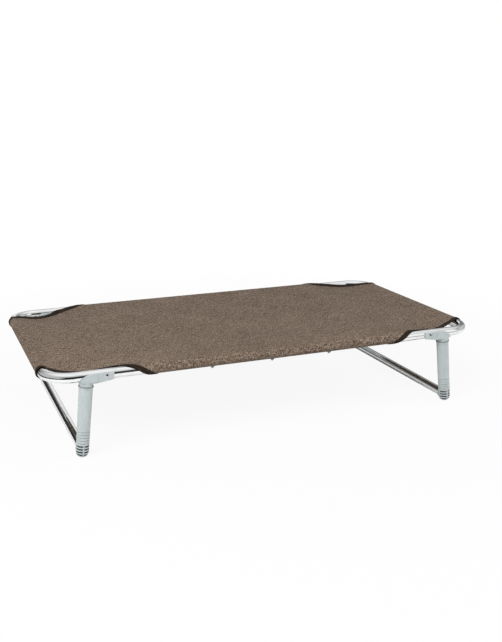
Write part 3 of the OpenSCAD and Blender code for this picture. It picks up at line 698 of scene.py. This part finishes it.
ring_rubber, tree, shader = new_finish("grey_rubber", IOR=1.5)
skin = use(tree, moulded_skin, Place=place_in(tree), Deep=RING_DEEP, Pale=RING_PALE, Scuffs=0.25)
dress(tree, shader, skin, depth=0.00004, rounding=0.0005)
wear(ring_rubber, *[f"leg_collar_{corner}" for corner in corners])

# Pivot rivets
# A hollow steel rivet, zinc plated and flared at both ends, is each leg
# frame's hinge pin through the bracket's cheeks and the tube.

wear(rivet_metal, *[f"pivot_rivet_{corner}" for corner in corners])

# Cover studs
# Push-in studs of grey plastic, with a washer and a domed head, hold the hem
# to the underside of the rails.

STUD_DEEP = (0.30, 0.31, 0.31, 1)
STUD_PALE = (0.42, 0.43, 0.43, 1)

stud_plastic, tree, shader = new_finish("stud_plastic", IOR=1.46)
skin = use(tree, moulded_skin, Place=place_in(tree), Deep=STUD_DEEP, Pale=STUD_PALE, Scuffs=0.2)
dress(tree, shader, skin, depth=0.00003, rounding=0.0004)
wear(stud_plastic, "cover_studs")

# Studio
# White paper on the floor and a white backdrop, under two broad soft boxes that
# the metal doesn't show. Polished tubes mirror a bright ceiling instead, some
# panels round the room, and a dim floor beyond the paper.

WHITE = (1, 1, 1, 1)
PAPER = (0.72, 0.72, 0.72, 1)
MIRRORED_PAPER = (0.92, 0.92, 0.92, 1)
MIRRORED_FLOOR = (0.05, 0.05, 0.05, 1)
FLOOR_SIZE = 20
AMBIENT = 0.43
COT_MIDDLE = (0, 0, 0.15)
bar_low, bar_high = node_box("crossbar_right")
FLOOR_BAR_X = (bar_low[0] + bar_high[0]) / 2

# Each pair is the start and the end of a fade, in metres.
PAPER_END, PAPER_END_RIGHT = (1.05, 1.45), (0.95, 1.25)
WHITE_OUT, GLOW_END = (0.75, 1.7), (0.80, 1.05)
BEHIND_RAIL, BAR_STRIP = (-0.30, -0.20), (0.022, 0.055)


def seen_directly(tree):
    """1 for rays from the camera and through glass, else 0, and 1 for mirrored rays, else 0."""
    path = shade(tree, "LightPath").outputs
    direct = sum_up(tree, "MAXIMUM", path["Is Camera Ray"], path["Is Transmission Ray"])
    return direct, path["Is Glossy Ray"]


floor_mesh = bpy.data.meshes.new("studio_floor")
signs = ((-1, -1), (1, -1), (1, 1), (-1, 1))
floor_corners = [(x * FLOOR_SIZE, y * FLOOR_SIZE, 0) for x, y in signs]
floor_mesh.from_pydata(floor_corners, [], [(0, 1, 2, 3)])
floor = bpy.data.objects.new("studio_floor", floor_mesh)
bpy.context.scene.collection.objects.link(floor)

# The camera sees the paper nearly white, with a faint shadow. Mirrors see it end 1.05 to 1.45 m from
# the middle, less so at the right. In mirrors the paper is a painted paler reflection than the grey that
# lights the cot, and under the cot it glows as painted light that lifts the cot's shadow, apart from a
# strip at each floor bar where the shadow stays.
floor_paint = bpy.data.materials.new("white_floor")
floor_paint.use_nodes = True
tree = floor_paint.node_tree
tree.nodes.clear()
direct, mirrored_ray = seen_directly(tree)
place = place_in(tree)
parts = split(tree, place)
away = length(tree, place)
right_side = spread(tree, parts["X"], *PAPER_END_RIGHT, 1.0, 0.4)
past_paper = sum_up(tree, "MULTIPLY", spread(tree, away, *PAPER_END), right_side)
past_paper = sum_up(tree, "MULTIPLY", past_paper, mirrored_ray)
# Painted reflection: mirrors see the paper at 0.92 grey, while the cot is lit by it at 0.72.
grey = tint(tree, past_paper, tint(tree, mirrored_ray, PAPER, MIRRORED_PAPER), MIRRORED_FLOOR)
paper = shade(tree, "BsdfDiffuse", {"Color": grey})
behind_rail = spread(tree, parts["Y"], *BEHIND_RAIL)
off_bar = sum_up(tree, "ABSOLUTE", beyond(tree, parts["X"], FLOOR_BAR_X))
# Painted light: under the cot mirrors see the paper glow, lifting the cot's shadow there, except for a
# strip at each floor bar.
mirrored_glow_under_cot = sum_up(tree, "MULTIPLY", behind_rail, spread(tree, away, *GLOW_END, 0.45, 0.0))
mirrored_glow_under_cot = sum_up(tree, "MULTIPLY", mirrored_glow_under_cot, spread(tree, off_bar, *BAR_STRIP))
white_out = sum_up(tree, "MULTIPLY", direct, spread(tree, away, *WHITE_OUT, 0.92, 1.0))
glow_share = sum_up(tree, "MULTIPLY_ADD", mirrored_glow_under_cot, mirrored_ray, white_out)
glow = shade(tree, "Emission", {"Color": WHITE, "Strength": 1.0})
both = shade(tree, "MixShader", {0: glow_share, 1: paper.outputs[0], 2: glow.outputs[0]})
shade(tree, "OutputMaterial", {"Surface": both.outputs[0]})
floor_mesh.materials.append(floor_paint)

# The world is white to the camera, an even grey light on the cot, and the room's panels to mirrors.
world = bpy.data.worlds.new("studio")
bpy.context.scene.world = world
world.use_nodes = True
tree = world.node_tree
tree.nodes.clear()
direct, mirrored_ray = seen_directly(tree)
way = split(tree, shade(tree, "TexCoord").outputs["Generated"])
ceiling = spread(tree, sum_up(tree, "MULTIPLY_ADD", way["Y"], 0.08, way["Z"]), 0.40, 0.48)
ceiling = sum_up(tree, "MULTIPLY", ceiling, spread(tree, way["Z"], 0.50, 0.92, 0.36, 1.0))
left_panel = spread(tree, way["X"], -0.75, -0.40, 0.55, 0.0)
right_panel = spread(tree, way["X"], 0.30, 0.60, 0.0, 0.22)
far_right = spread(tree, way["X"], 0.72, 0.90, 0.0, 0.60)
front_right = spread(tree, way["Y"], -0.35, -0.60)
front_right = sum_up(tree, "MULTIPLY", front_right, spread(tree, way["X"], 0.32, 0.48))
back_right = spread(tree, way["Y"], 0.80, 0.90)
back_right = sum_up(tree, "MULTIPLY", back_right, spread(tree, way["X"], -0.08, 0.05))
mirror_light = sum_up(tree, "MULTIPLY_ADD", back_right, 0.86, 0.03)
for panel in (ceiling, left_panel, right_panel, far_right, front_right):
    mirror_light = sum_up(tree, "MAXIMUM", mirror_light, panel)
mirror_share = sum_up(tree, "SUBTRACT", mirror_light, AMBIENT)
indirect = sum_up(tree, "MULTIPLY_ADD", mirror_share, mirrored_ray, AMBIENT)
level = sum_up(tree, "MULTIPLY_ADD", sum_up(tree, "SUBTRACT", 1.0, indirect), direct, indirect)
sky = shade(tree, "Background", {"Color": WHITE, "Strength": level})
shade(tree, "OutputWorld", {"Surface": sky.outputs[0]})


def soft_box(name, place, aim, size, power):
    """A square soft box at a place, turned to face an aim, of a side and a power in watts."""
    light = bpy.data.lights.new(name, "AREA")
    light.shape = "SQUARE"
    light.size = size
    light.energy = power
    lamp = bpy.data.objects.new(name, light)
    lamp.visible_glossy = False
    lamp.location = place
    away = np.array(place) - np.array(aim)
    flat_distance = math.hypot(away[0], away[1])
    lamp.rotation_euler = (math.atan2(flat_distance, away[2]), 0, math.atan2(away[0], -away[1]))
    bpy.context.scene.collection.objects.link(lamp)


soft_box("key_box", place=(-2.0, -1.5, 2.3), aim=COT_MIDDLE, size=1.8, power=82)
soft_box("fill_box", place=(2.6, -1.5, 1.5), aim=COT_MIDDLE, size=1.6, power=44)

# Camera
# Stands where the cot's own lines in the photograph put it.

lens = bpy.data.cameras.new("camera")
lens.sensor_width = 36
lens.lens = 48.81
camera = bpy.data.objects.new("camera", lens)
camera.location = (-0.86894, -2.25195, 0.86719)
camera.rotation_euler = (math.radians(74.641), 0, math.radians(-22.214))
bpy.context.scene.collection.objects.link(camera)
bpy.context.scene.camera = camera
bpy.context.scene.view_settings.view_transform = "Standard"
